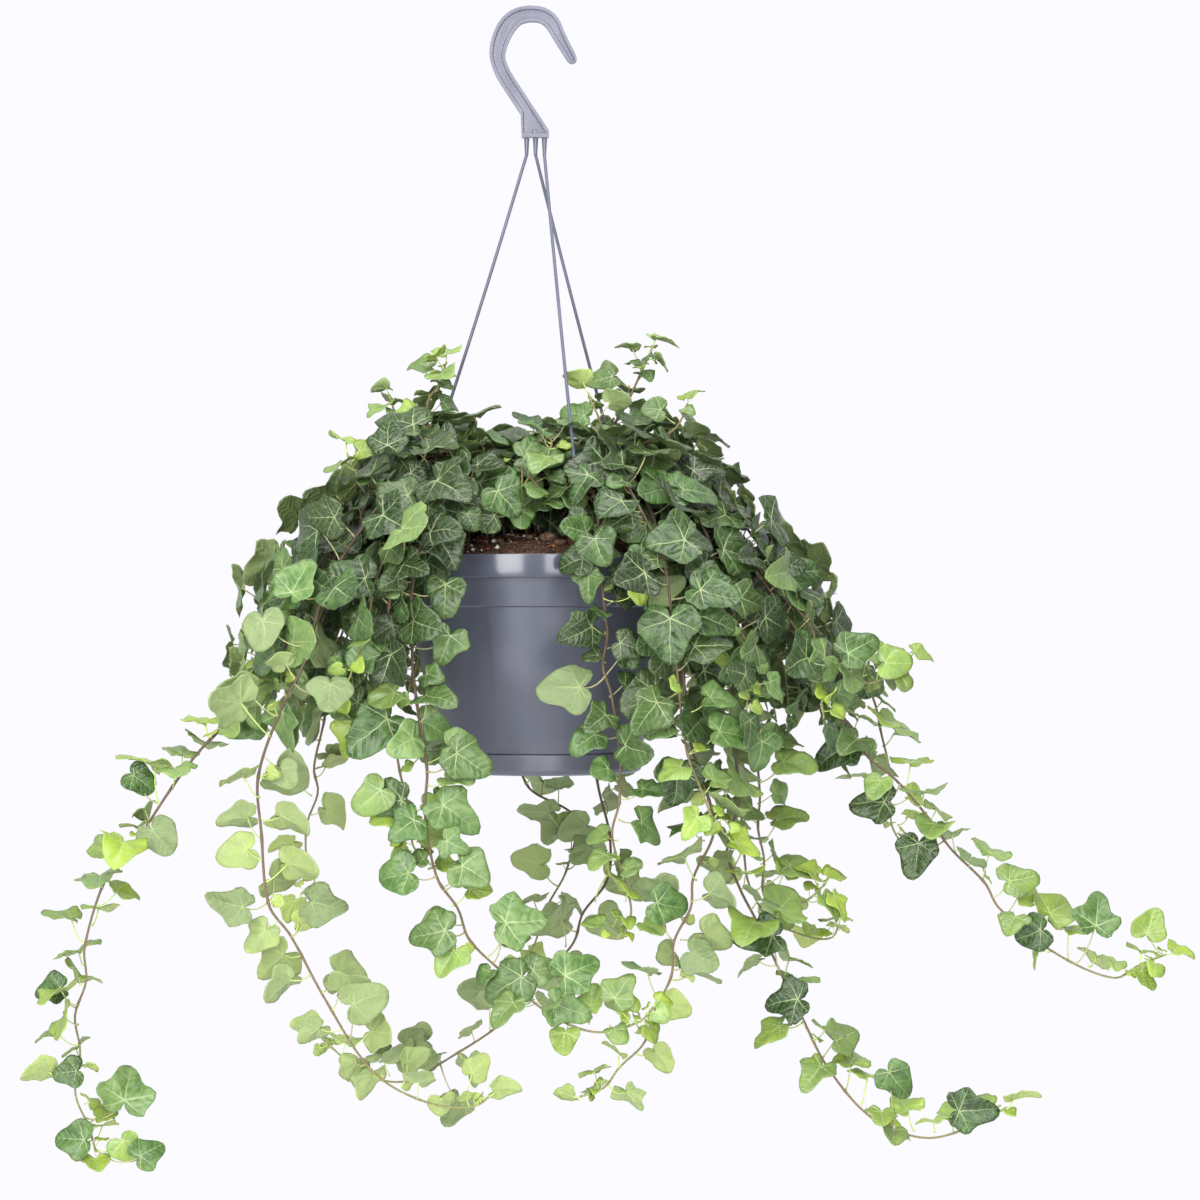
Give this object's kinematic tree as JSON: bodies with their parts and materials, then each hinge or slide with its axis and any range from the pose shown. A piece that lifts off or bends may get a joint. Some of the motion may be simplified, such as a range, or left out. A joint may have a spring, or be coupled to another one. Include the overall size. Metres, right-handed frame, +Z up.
{
  "type": "potted english ivy",
  "caption": "English ivy in a plastic hanging pot with a clip-on saucer and a hook on three strands, its leafy stems arching over the rim and trailing below.",
  "frame": {"origin": "where the hook's inner curve rests on the rail that holds it", "axes": "+Z up, +Y away from the viewer of the front view, +X to the viewer's right"},
  "size_m": [0.9516, 0.44, 0.9606],
  "materials": {
    "hook_plastic": "moulded, satin",
    "strand_plastic": "moulded, satin",
    "pot_plastic": "moulded, semi-gloss",
    "saucer_plastic": "moulded, semi-gloss",
    "peat": "loose, matt",
    "trailing_ivy": "waxy, satin",
    "crown_ivy": "waxy, satin"
  },
  "bodies": {
    "root": {"hanger_hook": "hook_plastic", "hanger_strand_1": "strand_plastic", "hanger_strand_2": "strand_plastic", "hanger_strand_3": "strand_plastic", "pot": "pot_plastic", "saucer": "saucer_plastic", "soil": "peat", "stem_far_left": "trailing_ivy", "stem_left_long": "trailing_ivy", "stem_left_back": "trailing_ivy", "stem_pot_left": "trailing_ivy", "stem_left_inner": "trailing_ivy", "stem_under_pot": "trailing_ivy", "stem_pot_right": "trailing_ivy", "stem_long_diagonal": "trailing_ivy", "stem_right_inner": "trailing_ivy", "stem_right_long": "trailing_ivy", "stem_right_mid": "trailing_ivy", "stem_right_mid_back": "trailing_ivy", "stem_far_right": "trailing_ivy", "stem_right_short": "trailing_ivy", "stem_right_back": "trailing_ivy", "stem_right_front": "trailing_ivy", "crown_shoot_1": "crown_ivy", "crown_shoot_2": "crown_ivy", "crown_shoot_3": "crown_ivy", "crown_shoot_4": "crown_ivy", "crown_shoot_5": "crown_ivy", "crown_shoot_6": "crown_ivy", "crown_shoot_7": "crown_ivy", "crown_shoot_8": "crown_ivy", "crown_shoot_9": "crown_ivy", "crown_shoot_10": "crown_ivy", "crown_shoot_11": "crown_ivy", "crown_shoot_12": "crown_ivy", "crown_shoot_13": "crown_ivy", "crown_shoot_14": "crown_ivy", "top_shoot_1": "crown_ivy", "top_shoot_2": "crown_ivy", "top_shoot_3": "crown_ivy", "top_shoot_4": "crown_ivy", "top_shoot_5": "crown_ivy", "top_shoot_6": "crown_ivy", "top_shoot_7": "crown_ivy", "sprig_left": "crown_ivy", "sprig_right": "crown_ivy"}
  },
  "joints": []
}
